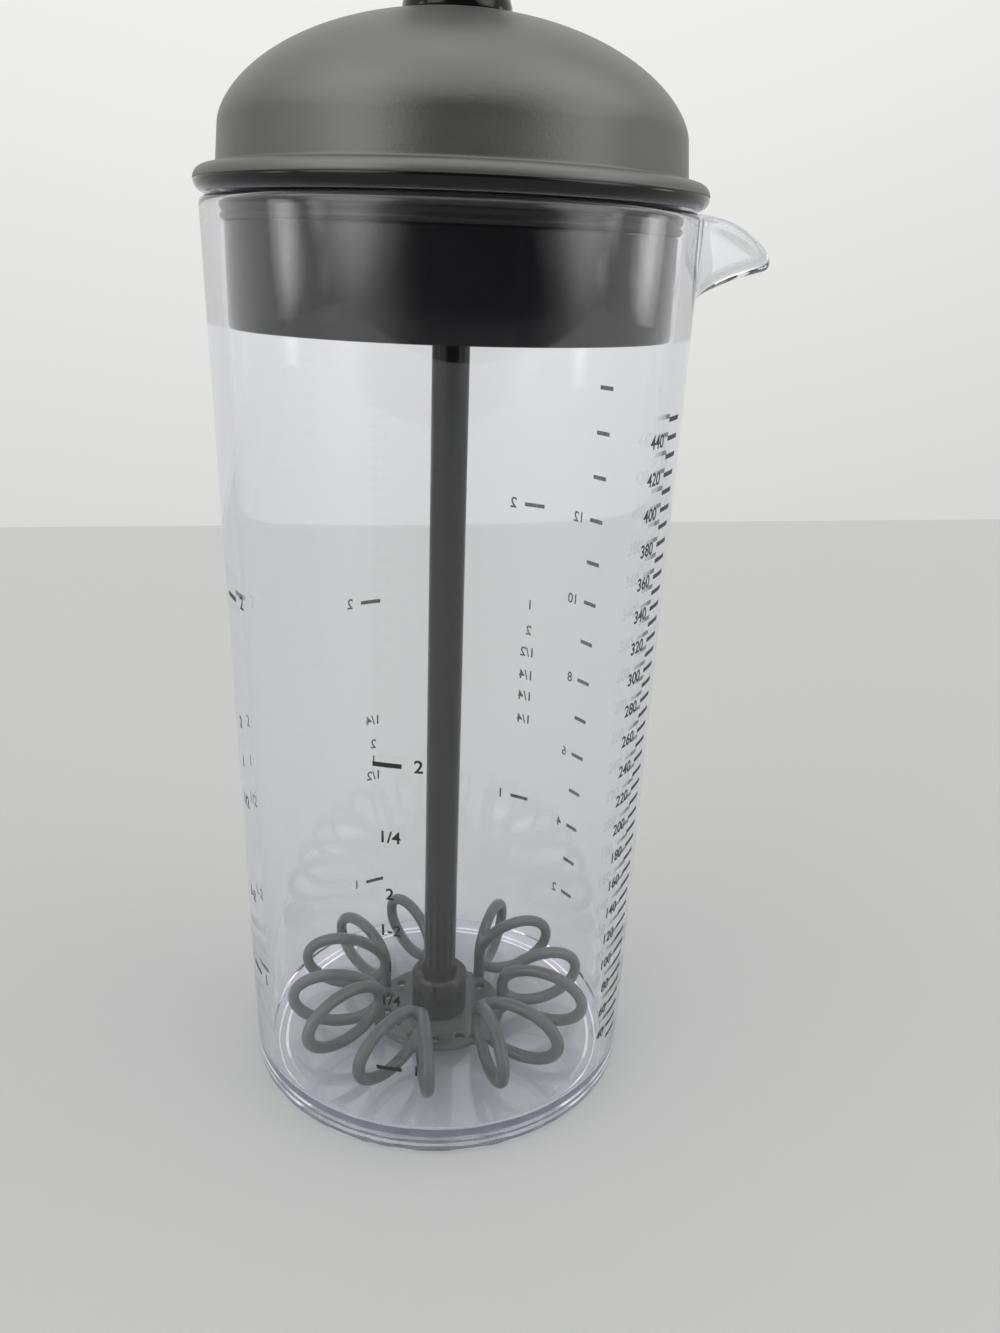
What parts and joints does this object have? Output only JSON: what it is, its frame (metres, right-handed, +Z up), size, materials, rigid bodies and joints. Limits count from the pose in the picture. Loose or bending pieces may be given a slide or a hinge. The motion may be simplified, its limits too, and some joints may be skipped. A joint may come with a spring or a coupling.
{
  "type": "mixing bottle",
  "caption": "Clear tapered mixing bottle with a pouring lip, a domed black lid that turns and lifts off, and a push-knob plunger with a looped whisk.",
  "frame": {"origin": "centre of the jar's flat underside, on the axis that the jar, lid and plunger share", "axes": "+Z up along the plunger rod, +X towards the pouring lip"},
  "size_m": [0.0938, 0.081, 0.206],
  "materials": {
    "clear_jar": "clear, polished, faint blue-violet tint in thick places",
    "matte_lid": "fine satin moulded black",
    "gloss_black": "polished moulded black",
    "seal_rubber": "soft matte black",
    "whisk_plastic": "satin moulded dark grey-green"
  },
  "bodies": {
    "jar": {"jar": "clear_jar"},
    "lid_seal": {"lid_seal": "seal_rubber"},
    "lid": {"lid_dome": "matte_lid", "lid_sleeve": "gloss_black", "rod_bush": "gloss_black"},
    "rod_seal": {"rod_seal": "seal_rubber"},
    "plunger": {"plunger_rod": "gloss_black", "knob": "gloss_black", "whisk_hub": "gloss_black", "whisk_head": "whisk_plastic"}
  },
  "joints": [
    {"name": "lid_lift", "type": "slide", "parent": "jar", "child": "lid_seal", "axis": [0, 0, 1], "range_m": [0, 0.16]},
    {"name": "lid_turn", "type": "hinge", "parent": "lid_seal", "child": "lid", "pos_m": [0, 0, 0.158], "axis": [0, 0, 1], "continuous": true},
    {"name": "plunger_turn", "type": "hinge", "parent": "lid", "child": "rod_seal", "pos_m": [0, 0, 0.152], "axis": [0, 0, 1], "continuous": true},
    {"name": "plunger_slide", "type": "slide", "parent": "rod_seal", "child": "plunger", "axis": [0, 0, 1], "range_m": [0, 0.128]}
  ]
}
